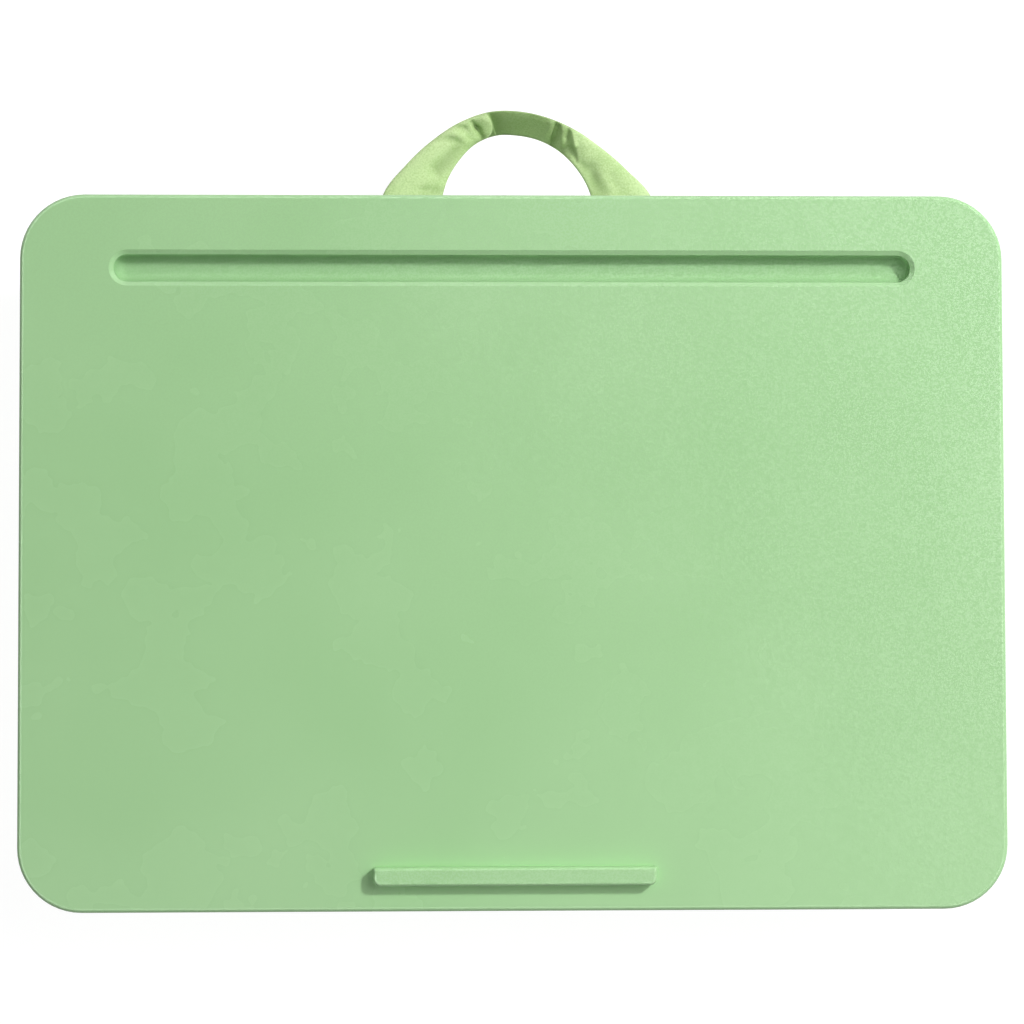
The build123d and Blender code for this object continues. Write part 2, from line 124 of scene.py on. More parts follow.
def noise(tree, place, size_mm, detail=2.0, roughness=0.5):
    """Noise whose patches are about size_mm across, in metres of object space."""
    made = add(tree, "ShaderNodeTexNoise", {"Vector": place, "Scale": 1 / (size_mm * MM),
                                            "Detail": detail, "Roughness": roughness})
    return made.outputs["Fac"]


def bump(tree, height, depth_mm, strength=1.0, under=None):
    """Bump of a real depth, laid over another bump where one is given."""
    inputs = {"Height": height, "Distance": depth_mm * MM, "Strength": strength}
    if under is not None:
        inputs["Normal"] = under
    return add(tree, "ShaderNodeBump", inputs).outputs["Normal"]


def object_place(tree):
    """The place on the object, in metres of its own space."""
    return add(tree, "ShaderNodeTexCoord").outputs["Object"]


# ---------------------------------------------------------------- materials
DECK_GREEN = ("#9dc991", "#a6cf9a")
# painted shade: dark green laid into the deck's groove where its own shadow falls
GROOVE_SHADE_GREEN = "#587555"
SATIN_GREEN = ("#adca89", "#c7dea5")
THREAD_GREEN = ("#a8cf82", "#bfdf9c")
# painted shade: dark green laid into the handle's creases, its tuck and the crown's edges
PAINTED_SHADE_GREEN = "#5c7c3a"
ZINC_GREY = "#c6c8ca"
NICKEL_WHITE = "#d5d2cc"
FIBRE_BROWN = ("#8a6a48", "#b08e64")
RUBBER_GREY = ("#3c403c", "#565b55")

# the deck's grain along its diagonal, 0 at the front left to 1 at the rear right: worn smooth down
# to this share before the first place, and as moulded past the second
GRAIN_WORN = 0.1
GRAIN_WEAR_ENDS = (0.28, 0.75)


def groove_painted_shade(tree, place):
    """Painted shade in the deck's groove: 1 deep at its rear, some at its front, and 0 outside it."""
    split = add(tree, "ShaderNodeSeparateXYZ", {"Vector": place})
    depth = add(tree, "ShaderNodeMapRange", {"Value": split.outputs["Z"],
                                             "From Min": groove_high[2] - 1.5 * MM,
                                             "From Max": groove_low[2] + 2 * MM})
    across = add(tree, "ShaderNodeMapRange", {"Value": split.outputs["Y"],
                                              "From Min": groove_low[1] - MM,
                                              "From Max": groove_high[1], "To Min": 0.25})
    middle, half = (groove_low[1] + groove_high[1]) / 2, (groove_high[1] - groove_low[1]) / 2
    side = maths(tree, "ABSOLUTE", maths(tree, "SUBTRACT", split.outputs["Y"], middle))
    inside = maths(tree, "LESS_THAN", side, half + 4 * MM)
    deep_rear_shade = maths(tree, "MULTIPLY", depth.outputs["Result"], across.outputs["Result"])
    return maths(tree, "MULTIPLY", deep_rear_shade, inside)


def grain_kept(tree, place):
    """How crisp the deck's grain still is: 1 at the rear right, and rubbed smooth down to GRAIN_WORN
    toward the front left, where wrists and papers slide over it."""
    split = add(tree, "ShaderNodeSeparateXYZ", {"Vector": place})
    length, depth = deck_high[0] - deck_low[0], deck_high[1] - deck_low[1]
    along = maths(tree, "MULTIPLY_ADD", split.outputs["X"], 0.5 / length, 0.5)
    diagonal = maths(tree, "MULTIPLY_ADD", split.outputs["Y"], 0.5 / depth, along)
    worn, fresh = GRAIN_WEAR_ENDS
    return add(tree, "ShaderNodeMapRange", {"Value": diagonal, "From Min": worn, "From Max": fresh,
                                            "To Min": GRAIN_WORN},
               interpolation_type="SMOOTHSTEP").outputs["Result"]


def moulded_polypropylene(name, grain_mm, grain_depth_mm, roughness, wear_and_groove_shade=0.0):
    """Injection-moulded polypropylene: satin, with the fine pebbled grain of an etched mould.
    Broad lights show as a soft veil, which the grain breaks into sparkle: the tips of the pebbles
    shine and the hollows between them don't. Where wear_and_groove_shade is given, as on the deck,
    shade is painted into the groove as a darker green, deepest at its rear foot, the groove is made
    rougher, and the grain is worn smooth in part."""
    material, tree, bsdf = new_material(name, IOR=1.49)
    bsdf.inputs["Specular IOR Level"].default_value = 0.72
    place = object_place(tree)
    cloud = noise(tree, place, 140.0)
    pebbles = noise(tree, place, grain_mm, 1.0)
    skin = two_tones(tree, cloud, *DECK_GREEN, 0.25, 0.75)
    rub = noise(tree, place, 35.0, 3.0)
    gloss = maths(tree, "MULTIPLY_ADD", rub, 0.06, roughness - 0.03)
    crisp = 1.0
    if wear_and_groove_shade > 0:
        crisp = grain_kept(tree, place)
        # painted shade: the groove's colour is mixed toward a dark green, most at its rear foot, in place of
        # the shade there; the same mask also roughens it
        groove_shade = groove_painted_shade(tree, place)
        shaded_skin = add(tree, "ShaderNodeMix", {"Factor": maths(tree, "MULTIPLY", groove_shade, wear_and_groove_shade), "A": skin},
                     data_type="RGBA")
        shaded_skin.inputs["B"].default_value = linear(GROOVE_SHADE_GREEN)
        skin = shaded_skin.outputs["Result"]
        gloss = maths(tree, "MULTIPLY_ADD", groove_shade, 0.5, gloss)
    tree.links.new(skin, bsdf.inputs["Base Color"])
    tree.links.new(gloss, bsdf.inputs["Roughness"])
    tips = add(tree, "ShaderNodeMapRange", {"Value": pebbles, "From Min": 0.45, "From Max": 0.55,
                                            "To Min": -0.45, "To Max": 0.45})
    shine = maths(tree, "MULTIPLY_ADD", tips.outputs["Result"], crisp, 0.55)
    grey = add(tree, "ShaderNodeCombineColor", {c: shine for c in ("Red", "Green", "Blue")})
    tree.links.new(grey.outputs["Color"], bsdf.inputs["Specular Tint"])
    height = maths(tree, "MULTIPLY", pebbles, crisp)
    tree.links.new(bump(tree, height, grain_depth_mm), bsdf.inputs["Normal"])
    return material


def woven_polyester(name, tones, thread_mm, depth_mm, sheen, painted_shade_weight=0.0):
    """Satin-woven polyester: thread ribs both ways, a soft sheen and faint uneven dye. Where
    painted_shade_weight is given, shade is painted into the colour from the mesh's painted_shade
    attribute: darker in its creases, in the tuck under the fold and along the crown's edges. Threads
    are drawn about twice as coarse as the real 0.3 mm so that they show."""
    material, tree, bsdf = new_material(name, Roughness=0.62, IOR=1.5)
    bsdf.inputs["Sheen Weight"].default_value = sheen
    bsdf.inputs["Sheen Roughness"].default_value = 0.45
    bsdf.inputs["Sheen Tint"].default_value = linear(tones[1])
    weave = add(tree, "ShaderNodeUVMap").outputs["UV"]
    place = object_place(tree)
    turns = 2 * math.pi / (thread_mm * MM)
    split = add(tree, "ShaderNodeSeparateXYZ", {"Vector": weave})
    warp, weft = [maths(tree, "SINE", maths(tree, "MULTIPLY", split.outputs[axis], turns))
                  for axis in ("X", "Y")]
    threads = maths(tree, "MULTIPLY", warp, weft)
    slub = noise(tree, place, 0.8, 2.0)
    cloud = noise(tree, place, 14.0, 3.0)
    speckle = maths(tree, "MULTIPLY_ADD", cloud, 0.6, slub)
    dye = two_tones(tree, speckle, *tones, 0.62, 0.98)
    if painted_shade_weight > 0:
        # painted shade: the colour is mixed toward a dark green by the mesh's painted_shade attribute, in
        # place of the shade in creases and folds
        painted_shade = add(tree, "ShaderNodeAttribute", attribute_name="painted_shade").outputs["Fac"]
        shaded_dye = add(tree, "ShaderNodeMix", {"Factor": maths(tree, "MULTIPLY", painted_shade, painted_shade_weight)},
                     data_type="RGBA")
        tree.links.new(dye, shaded_dye.inputs["A"])
        shaded_dye.inputs["B"].default_value = linear(PAINTED_SHADE_GREEN)
        dye = shaded_dye.outputs["Result"]
    tree.links.new(dye, bsdf.inputs["Base Color"])
    crinkle = bump(tree, cloud, depth_mm * 4)
    slubbed = bump(tree, slub, depth_mm, under=crinkle)
    tree.links.new(bump(tree, threads, depth_mm, 0.5, under=slubbed), bsdf.inputs["Normal"])
    return material


def brushed_steel(name, tone, roughness):
    """Zinc- or nickel-plated steel: fine scratches along the piece and a soft gloss."""
    material, tree, bsdf = new_material(name, Metallic=1.0)
    bsdf.inputs["Base Color"].default_value = linear(tone)
    place = object_place(tree)
    stretch = add(tree, "ShaderNodeMapping", {"Vector": place})
    stretch.inputs["Scale"].default_value = (0.08, 1.0, 1.0)
    scratches = noise(tree, stretch.outputs["Vector"], 0.4, 2.0)
    gloss = add(tree, "ShaderNodeMapRange", {"Value": scratches, "To Min": roughness - 0.08,
                                             "To Max": roughness + 0.08})
    tree.links.new(gloss.outputs["Result"], bsdf.inputs["Roughness"])
    tree.links.new(bump(tree, scratches, 0.01), bsdf.inputs["Normal"])
    return material


def raw_fibreboard(name):
    """Medium-density fibreboard: brown felted fibres, dull, with darker flecks."""
    material, tree, bsdf = new_material(name, Roughness=0.85)
    place = object_place(tree)
    fibres = noise(tree, place, 1.2, 4.0)
    tree.links.new(two_tones(tree, fibres, *FIBRE_BROWN), bsdf.inputs["Base Color"])
    tree.links.new(bump(tree, fibres, 0.06), bsdf.inputs["Normal"])
    return material


def soft_rubber(name):
    """Moulded silicone rubber: dark, matt, with a faint bloom."""
    material, tree, bsdf = new_material(name, IOR=1.41)
    place = object_place(tree)
    bloom = noise(tree, place, 3.0, 3.0)
    tree.links.new(two_tones(tree, bloom, *RUBBER_GREY), bsdf.inputs["Base Color"])
    gloss = add(tree, "ShaderNodeMapRange", {"Value": bloom, "To Min": 0.6, "To Max": 0.75})
    tree.links.new(gloss.outputs["Result"], bsdf.inputs["Roughness"])
    return material


# ---------------------------------------------------------------- mesh helpers
def grid_faces(rows, columns, wrap_rows=False, wrap_columns=False):
    """Quads of a grid of rows by columns points, closed round either way where asked."""
    r = np.arange(rows if wrap_rows else rows - 1)
    c = np.arange(columns if wrap_columns else columns - 1)
    r, c = np.meshgrid(r, c, indexing="ij")
    down, right = (r + 1) % rows, (c + 1) % columns
    quads = np.stack([r * columns + c, r * columns + right, down * columns + right,
                      down * columns + c], axis=-1)
    return quads.reshape(-1, 4)


def mesh_object(name, points, faces, uv=None):
    """A smooth-shaded object from arrays of points, faces and one UV pair per point."""
    mesh = bpy.data.meshes.new(name)
    mesh.from_pydata(points.tolist(), [], [list(map(int, f)) for f in faces])
    mesh.update()
    mesh.shade_smooth()
    if uv is not None:
        corner = np.empty(len(mesh.loops), dtype=np.int32)
        mesh.loops.foreach_get("vertex_index", corner)
        layer = mesh.uv_layers.new(name="weave")
        layer.uv.foreach_set("vector", uv[corner].astype(np.float32).ravel())
    made = bpy.data.objects.new(name, mesh)
    bpy.context.scene.collection.objects.link(made)
    return made


def smooth_step(x, low, high):
    """0 below low, 1 above high and a smooth S between them."""
    t = np.clip((x - low) / (high - low), 0, 1)
    return t * t * (3 - 2 * t)


def through(knots, values, at):
    """Smooth curve through given values: the average of cubic arcs between neighbours."""
    knots, values = np.asarray(knots, float), np.asarray(values, float)
    slopes = np.gradient(values, knots)
    i = np.clip(np.searchsorted(knots, at) - 1, 0, len(knots) - 2)
    span = knots[i + 1] - knots[i]
    t = (at - knots[i]) / span
    return ((2 * t ** 3 - 3 * t ** 2 + 1) * values[i] + (t ** 3 - 2 * t ** 2 + t) * span * slopes[i]
            + (3 * t ** 2 - 2 * t ** 3) * values[i + 1] + (t ** 3 - t ** 2) * span * slopes[i + 1])


# ---------------------------------------------------------------- carrying handle
# the loop in plan: its middle, and the distances of its outer and inner edge from there at each angle
LOOP_CENTRE = (2.55, 165.0)
LOOP_KNOTS = (-12, 0, 15, 30, 50, 70, 90, 105, 125, 145, 162, 180, 192)
LOOP_OUTER = (65.4, 63.9, 54.1, 47.6, 43.3, 41.6, 41.9, 43.1, 44.8, 48.1, 53.6, 62.5, 63.6)
LOOP_INNER = (37.3, 35.6, 33.5, 31.8, 30.6, 30.1, 30.4, 31.5, 32.2, 32.2, 33.0, 34.4, 36.2)
# share of the strap's run that each foot takes
FOOT_SHARE = 0.1
# half the thickness of the padded arms and of the folded crown
STRAP_PUFF = 2.4
CROWN_PUFF = 0.9
# half the height between the two edges: on the crown, and on the arms near their feet and higher up
CROWN_LIFT = 8.0
ARM_LIFT = (1.2, 4.0)
# the lap at the fold: how high the arm's end stands, and how deep and far the crown is tucked in
CAP_HEIGHT = 1.4
TUCK_DEPTH = 1.8
TUCK_REACH = 7.5
# how square the section is at its edges and on its faces, where 1 is round
EDGE_POWER = 0.8
FACE_POWER = 0.7
STRAP_ROWS = 1200
STRAP_COLUMNS = 70

# dips across the strap: ends in plan, widths left and right of the line as it runs, and depth
CREASES = (
    ((-17.9, 201.6), (-15.2, 198.4), 1.5, 1.3, 1.3),
    ((-15.2, 198.4), (-12.9, 194.4), 1.3, 1.6, 1.4),
    ((-24.0, 199.6), (-21.4, 198.6), 1.7, 1.7, 1.2),
    ((-33.6, 194.4), (-24.1, 192.4), 2.0, 2.0, 0.8),
    ((-25.0, 187.5), (-34.0, 179.5), 3.4, 3.4, 1.6),
    ((-40.0, 169.6), (-31.5, 169.0), 2.6, 2.6, 0.8),
    ((21.8, 201.8), (18.9, 192.4), 3.4, 0.8, 1.7),
    ((28.0, 199.6), (26.2, 194.6), 2.0, 1.2, 1.3),
    ((27.5, 189.8), (34.1, 179.5), 2.2, 2.2, 1.0),
    ((38.6, 175.0), (43.4, 168.5), 3.0, 3.0, 0.9),
    ((37.2, 180.0), (40.0, 166.0), 3.4, 3.4, 1.3),
    ((9.3, 206.4), (19.4, 203.2), 1.6, 1.6, 0.5),
    ((52.5, 168.0), (47.5, 176.5), 2.2, 2.2, 0.3),
)
# raised pinches of cloth beside them
PINCHES = (
    ((19.2, 201.2), (15.6, 193.0), 1.4, 1.2, 0.5),
    ((28.9, 198.2), (30.5, 191.2), 1.0, 1.0, 0.7),
    ((30.5, 191.2), (31.9, 183.6), 1.0, 1.0, 0.6),
    ((24.4, 198.5), (23.6, 191.0), 1.6, 1.6, 0.5),
    ((-27.5, 197.6), (-19.6, 191.6), 2.2, 2.2, 0.5),
)


def segment_relief(x, y, lines):
    """Sum over short lines of depth times a bell curve of the distance from each line."""
    total = np.zeros_like(x)
    for (ax, ay), (bx, by), left, right, depth in lines:
        dx, dy = bx - ax, by - ay
        t = np.clip(((x - ax) * dx + (y - ay) * dy) / (dx * dx + dy * dy), 0, 1)
        away = np.hypot(x - ax - t * dx, y - ay - t * dy)
        width = left + (right - left) * smooth_step((y - ay) * dx - (x - ax) * dy, 1.0, -1.0)
        total += depth * np.exp(-(away / width) ** 2)
    return total


def fold_x(y):
    """Where the left arm's padded end laps over the crown: a shallow arc, bulging to the right."""
    return -8.2 - 0.075 * np.clip(y - 199.8, -6.0, 6.5) ** 2


def tab_middle(side):
    """Middle of a tab's width, in millimetres."""
    low, high = tabs[side]
    return (low[0] + high[0]) / MM / 2


def strap_edges(along):
    """Inner and outer edge of the strap in plan, in millimetres. along runs 0 to 1 from the right
    tab's clamped end to the left one's: straight over the tabs, then two polar curves about the
    loop's centre."""
    turn = np.clip((along - FOOT_SHARE) / (1 - 2 * FOOT_SHARE), 0, 1)
    angle = np.pi * turn
    tab_y = tab_low[1] / MM
    result = []
    for radii, sign in ((LOOP_INNER, -1), (LOOP_OUTER, 1)):
        radius = through(LOOP_KNOTS, radii, np.degrees(angle))
        x = LOOP_CENTRE[0] + radius * np.cos(angle)
        y = LOOP_CENTRE[1] + radius * np.sin(angle)
        for side, hand, run in (("right", 1, along), ("left", -1, 1 - along)):
            tab_x = tab_middle(side) + hand * sign * tab_half
            share = np.clip(run / FOOT_SHARE, 0, 1)
            x = np.where(share < 1, tab_x + (x - tab_x) * smooth_step(share, 0.74, 1.0), x)
            y = np.where(share < 1, tab_y + (LOOP_CENTRE[1] - tab_y) * share, y)
        result.append(np.stack([x, y], axis=1))
    return result


def crown_share(x, y):
    """1 on the crown right of the fold, where the strap stands nearly on edge, and 0 on the arms. The
    left arm has turned by 0.6 where it ends."""
    past = x - fold_x(y)
    turned = 0.6 * smooth_step(past, -17.0, 2.0) + 0.4 * smooth_step(past, -0.4, 0.4)
    return turned * smooth_step(x, 38.0, 10.0) * smooth_step(y, 180.0, 190.0)


def arm_lift(x, y):
    """Half the height between the strap's two edges on its arms: none at the tabs."""
    rise = smooth_step(np.abs(x - LOOP_CENTRE[0]), 40.0, 8.0)
    return smooth_step(y, 160.0, 192.0) * (ARM_LIFT[0] + (ARM_LIFT[1] - ARM_LIFT[0]) * rise)


def carrying_handle():
    """Padded cloth strap. Section: half-width vector times a rounded cosine of u plus thickness
    vector times a rounded sine of u, carried along the middle line between the two edges and fitted
    to them in plan. On the crown the inner edge is let down, so the strap stands nearly on edge.
    Dips and pinches are bell-shaped reliefs of both faces, and the left arm ends in a raised cap
    where it laps over the crown, which is tucked in under it. Points above or below the strap's
    level slide along the line from the camera, which keeps both edges where they were drawn."""
    rows, columns = STRAP_ROWS, STRAP_COLUMNS
    inner, outer = strap_edges(np.linspace(0, 1, rows))
    middle = (inner + outer) / 2
    reach = np.linalg.norm(outer - inner, axis=1) / 2
    across = (outer - inner) / (2 * reach[:, None])
    crown_row = crown_share(middle[:, 0], middle[:, 1])
    lift = arm_lift(middle[:, 0], middle[:, 1])
    tilt = lift + (CROWN_LIFT - lift) * crown_row
    tangent = np.gradient(np.column_stack([middle, np.zeros(rows)]), axis=0)
    normal = np.cross(np.column_stack([across * reach[:, None], tilt]), tangent)
    normal *= np.sign(normal[:, 2:3]) / np.linalg.norm(normal, axis=1, keepdims=True)
    flat = (tab_high[2] - tab_low[2]) / MM / 2
    puff = flat + (STRAP_PUFF - flat) * smooth_step(middle[:, 1], 150.0, 168.0)
    puff += (CROWN_PUFF - puff) * crown_row

    turn = np.linspace(0, 2 * np.pi, columns, endpoint=False)
    wide = np.sign(np.cos(turn)) * np.abs(np.cos(turn)) ** EDGE_POWER
    swell = np.sign(np.sin(turn)) * np.abs(np.sin(turn)) ** FACE_POWER
    offset = (reach[:, None] * wide
              + np.einsum("ij,ij->i", normal[:, :2], across)[:, None] * puff[:, None] * swell)
    scale = np.where(offset > 0, reach[:, None] / offset.max(axis=1, keepdims=True),
                     -reach[:, None] / offset.min(axis=1, keepdims=True))
    fitted = offset * scale
    plan = middle[:, None] + across[:, None] * fitted[:, :, None]
    x, y = plan[..., 0], plan[..., 1]
    crown = crown_share(x, y)
    arm = np.repeat(lift[:, None], columns, axis=1)
    drop = (CROWN_LIFT - arm) * crown
    level = swing[2] / MM
    z = level + (arm + drop) * wide - drop + normal[:, 2:3] * puff[:, None] * swell
    past = x - fold_x(y)
    near = (y > 180.0) * (x < 30.0)
    tuck = near * np.exp(-np.maximum(past, 0) / TUCK_REACH) * smooth_step(past, -0.4, 0.4)
    points = np.stack([x, y, z - TUCK_DEPTH * tuck], axis=2)

    body = np.clip(1 - (fitted / reach[:, None]) ** 6, 0, 1) * smooth_step(y, 160.0, 170.0)
    dips = segment_relief(x, y, CREASES)
    relief = (segment_relief(x, y, PINCHES) - dips) * np.abs(np.sin(turn)) * np.sign(swell)
    cap = CAP_HEIGHT * np.exp(-((past + 2.0) / 3.5) ** 2) * smooth_step(past, 0.4, -0.6)
    relief += cap * (swell > 0) * near
    points += normal[:, None] * (relief * body)[:, :, None]
    eye = np.array(CAMERA_PLACE) / MM
    slide = (level - points[..., 2]) / (eye[2] - level) * smooth_step(y, 156.0, 170.0)
    points[..., :2] += (points[..., :2] - eye[:2]) * slide[..., None]

    # painted shade: the dips, the tuck under the fold, the crown and most of all the crown's edges are
    # marked darker, in place of the shade that falls there
    rim = smooth_step(np.abs(fitted) / reach[:, None], 0.78, 1.0)
    shade_paint = np.clip(0.4 * dips + 1.3 * tuck + crown * (0.12 + 0.6 * rim), 0, 1)
    length = np.concatenate([[0], np.cumsum(np.linalg.norm(np.diff(middle, axis=0), axis=1))])
    around = np.concatenate([12 + wide[:columns // 2] * 12, 36 - wide[columns // 2:] * 12])
    uv = np.stack([np.repeat(length, columns), np.tile(around, rows)], axis=1) * MM
    faces = list(grid_faces(rows, columns, wrap_columns=True))
    faces += [list(range(columns))[::-1], [(rows - 1) * columns + i for i in range(columns)]]
    made = mesh_object("carry_handle", points.reshape(-1, 3) * MM, faces, uv)
    layer = made.data.attributes.new("painted_shade", "FLOAT", "POINT")
    layer.data.foreach_set("value", shade_paint.astype(np.float32).ravel())
    return made


# ---------------------------------------------------------------- cushion
def beyond_board(margin):
    """Half length and half depth of an outline that stands out past the board's by a margin."""
    return board_half[0] + margin, board_half[1] + margin


CLOTH_THICK = 1.2
BOARD_CORNER = 24.0
# the neck, where the cover goes up round the board
NECK_HALF = beyond_board(CLOTH_THICK)
NECK_RADIUS = BOARD_CORNER + CLOTH_THICK
# the seam all round near the foot: height, margin past the board, corner, and how far each side is
# drawn in at its middle
SEAM_Z = 7.0
SEAM_MARGIN = 3.4
SEAM_RADIUS = 31.0
SEAM_PULL = 2.6
PIPING_RADIUS = 1.7
PIPING_STANDS_OUT = 1.3
PIPING_LIP = 9.0
PILLOW_TOP = round(board_low[2] / MM, 3) - 0.2
# the middles of the pillow's underside and top before it is blown up: half sizes and corner radius
FLAT_HALF = (150.0, 90.0)
FLAT_RADIUS = 20.0
# its sides before then: height, margin past the board, corner radius and pull at each level
PILLOW_SIDES = (
    (2.2, -15.0, 24.0, 0.0),
    (3.4, -4.0, 28.0, 1.5),
    (SEAM_Z, SEAM_MARGIN, SEAM_RADIUS, SEAM_PULL),
    (12.0, 5.2, 30.5, 1.6),
    (20.0, 5.0, 30.0, 0.8),
    (28.0, 4.0, 29.0, 0.6),
    (33.5, 2.4, 27.0, 0.2),
    (PILLOW_TOP, CLOTH_THICK, NECK_RADIUS, 0.0),
)
VOXEL = 5.0
BLOW_FRAMES = 20
MOST_SWELL = 7.0
# how far the blown-up cloth may pass the cover's box
CLOTH_ROOM = 2.5
# pitch and depth of the long and the short ripples by the seam
PUCKERS = ((9.0, 0.55), (5.7, 0.3))
HEM_WIDTH = 14.0
# the cover's lower edge below the pillow's top
HEM_FOOT = 2.2
STITCH_PITCH = 2.6
STITCH_LENGTH = 2.0
STITCH_ROWS_Y = (148.4, 150.6)
THREAD_RADIUS = 0.28
THREAD_BOW = 0.18


def outline(half, radius, count, pull=0.0):
    """Evenly spaced points of a rounded rectangle and their outward directions: four corner arcs
    joined by straight runs, each run drawn in by pull times a bell that is 1 at its middle."""
    quarter = np.linspace(0, np.pi / 2, 33)
    angle = (quarter[None, :] + np.arange(4)[:, None] * np.pi / 2).ravel()
    side_x = np.repeat([1, -1, -1, 1], 33)
    side_y = np.repeat([1, 1, -1, -1], 33)
    loop = np.stack([side_x * (half[0] - radius) + radius * np.cos(angle),
                     side_y * (half[1] - radius) + radius * np.sin(angle),
                     np.cos(angle), np.sin(angle)], axis=1)
    loop = np.vstack([loop, loop[:1]])
    length = np.concatenate([[0], np.cumsum(np.hypot(*np.diff(loop[:, :2], axis=0).T))])
    at = np.linspace(0, length[-1], count, endpoint=False)
    points = np.stack([np.interp(at, length, loop[:, i]) for i in range(4)], axis=1)
    place, out = points[:, :2], points[:, 2:]
    out /= np.linalg.norm(out, axis=1, keepdims=True)
    across = 1 - np.clip(place / (np.array(half) - radius), -1, 1) ** 2
    bell = np.abs(out[:, 1]) * across[:, 0] ** 2 + np.abs(out[:, 0]) * across[:, 1] ** 2
    return place - out * (pull * bell)[:, None], out


def pillow_start():
    """Closed pillow to be blown up: rounded outlines stacked by height, with straight cloth between
    them, from the middle of its underside to the middle of its top."""
    count = 360
    levels = [(2.6, FLAT_HALF, FLAT_RADIUS, 0.0)]
    levels += [(z, beyond_board(margin), radius, pull) for z, margin, radius, pull in PILLOW_SIDES]
    levels += [(PILLOW_TOP, FLAT_HALF, FLAT_RADIUS, 0.0)]
    rows = []
    for z, half, radius, pull in levels:
        ring = outline(half, radius, count, pull)[0]
        rows.append(np.column_stack([ring, np.full(count, z)]))
    points = np.concatenate(rows) * MM
    faces = list(grid_faces(len(rows), count, wrap_columns=True))
    caps = [list(range(count))[::-1], [(len(rows) - 1) * count + i for i in range(count)]]
    return mesh_object("pillow_start", points, faces + caps)


def settled(source, name):
    """A new object with the mesh that source shows once its modifiers are worked out."""
    bpy.context.view_layer.update()
    seen = source.evaluated_get(bpy.context.evaluated_depsgraph_get())
    made = bpy.data.objects.new(name, bpy.data.meshes.new_from_object(seen))
    bpy.context.scene.collection.objects.link(made)
    bpy.data.objects.remove(source)
    return made


def read_points(obj):
    """The places of a mesh's points, in metres, as rows of x, y and z."""
    flat = np.empty(len(obj.data.vertices) * 3)
    obj.data.vertices.foreach_get("co", flat)
    return flat.reshape(-1, 3)


def blow_up(pillow):
    """Cloth under air pressure, held along the seam and round the neck, for BLOW_FRAMES frames. No
    point moves further than about MOST_SWELL."""
    start = read_points(pillow)
    z = start[:, 2] / MM
    rim = np.maximum(np.abs(start[:, 0]) / MM - NECK_HALF[0] + 12,
                     np.abs(start[:, 1]) / MM - NECK_HALF[1] + 12) > 0
    held = (z > PILLOW_TOP - 2.4) | ((np.abs(z - SEAM_Z) < 2.4) & rim)
    pins = pillow.vertex_groups.new(name="held")
    pins.add([int(i) for i in np.nonzero(held)[0]], 1.0, "REPLACE")
    cloth = pillow.modifiers.new("cloth", "CLOTH")
    settings = cloth.settings
    settings.vertex_group_mass = "held"
    settings.quality = 5
    settings.mass = 0.15
    settings.tension_stiffness = 12
    settings.compression_stiffness = 12
    settings.shear_stiffness = 6
    settings.bending_stiffness = 0.4
    settings.use_pressure = True
    settings.uniform_pressure_force = 4.0
    settings.shrink_min = -0.035
    settings.effector_weights.gravity = 0.0
    cloth.point_cache.frame_start = 1
    cloth.point_cache.frame_end = BLOW_FRAMES
    for step in range(1, BLOW_FRAMES + 1):
        bpy.context.scene.frame_set(step)
    blown = settled(pillow, "pillow_blown")
    bpy.context.scene.frame_set(1)
    move = read_points(blown) - start
    far = np.linalg.norm(move, axis=1, keepdims=True) / MM
    move *= np.where(far > 0, MOST_SWELL * np.tanh(far / MOST_SWELL) / np.maximum(far, 1e-9), 1.0)
    blown.data.vertices.foreach_set("co", (start + move).ravel())
    return blown


def lay_weave(obj):
    """Weave coordinates from places: each corner takes the two of x, y, z that lie most along its
    face, so the threads keep their size all over."""
    mesh = obj.data
    points = read_points(obj)
    corner = np.empty(len(mesh.loops), dtype=np.int32)
    mesh.loops.foreach_get("vertex_index", corner)
    flat = np.empty(len(mesh.polygons) * 3)
    mesh.polygons.foreach_get("normal", flat)
    sides = np.empty(len(mesh.polygons), dtype=np.int32)
    mesh.polygons.foreach_get("loop_total", sides)
    facing = np.repeat(np.abs(flat.reshape(-1, 3)).argmax(axis=1), sides)
    pick = np.array([[1, 2], [0, 2], [0, 1]])[facing]
    uv = np.take_along_axis(points[corner], pick, axis=1)
    layer = mesh.uv_layers.new(name="weave")
    layer.uv.foreach_set("vector", uv.astype(np.float32).ravel())


def seam_puckers(points):
    """Fabric gathered by the seam: two sine ripples along the edge, whose spacing drifts by slower
    sines, moved in and out and faded within about 12 mm above and below the seam."""
    x, y, z = points[:, 0] / MM, points[:, 1] / MM, points[:, 2] / MM
    around = np.where(np.abs(x) / NECK_HALF[0] > np.abs(y) / NECK_HALF[1], y, x)
    phase = around + 3.0 * np.sin(around / 17.0) + 1.7 * np.sin(around / 7.3 + 1.0)
    (long_pitch, long_depth), (short_pitch, short_depth) = PUCKERS
    ripple = long_depth * np.sin(2 * np.pi * phase / long_pitch)
    ripple += short_depth * np.sin(2 * np.pi * phase / short_pitch + 0.8)
    away = np.abs(z - SEAM_Z)
    fade = smooth_step(away, 1.0, 3.0) * smooth_step(away, 14.0, 3.0)
    edge = smooth_step(np.maximum(np.abs(x) - NECK_HALF[0], np.abs(y) - NECK_HALF[1]), -22.0, -8.0)
    out = np.stack([x / NECK_HALF[0], y / NECK_HALF[1], np.zeros_like(x)], axis=1)
    out = np.sign(out) * np.abs(out) ** 6
    out /= np.maximum(np.linalg.norm(out, axis=1, keepdims=True), 1e-9)
    return points + out * (ripple * fade * edge)[:, None] * MM


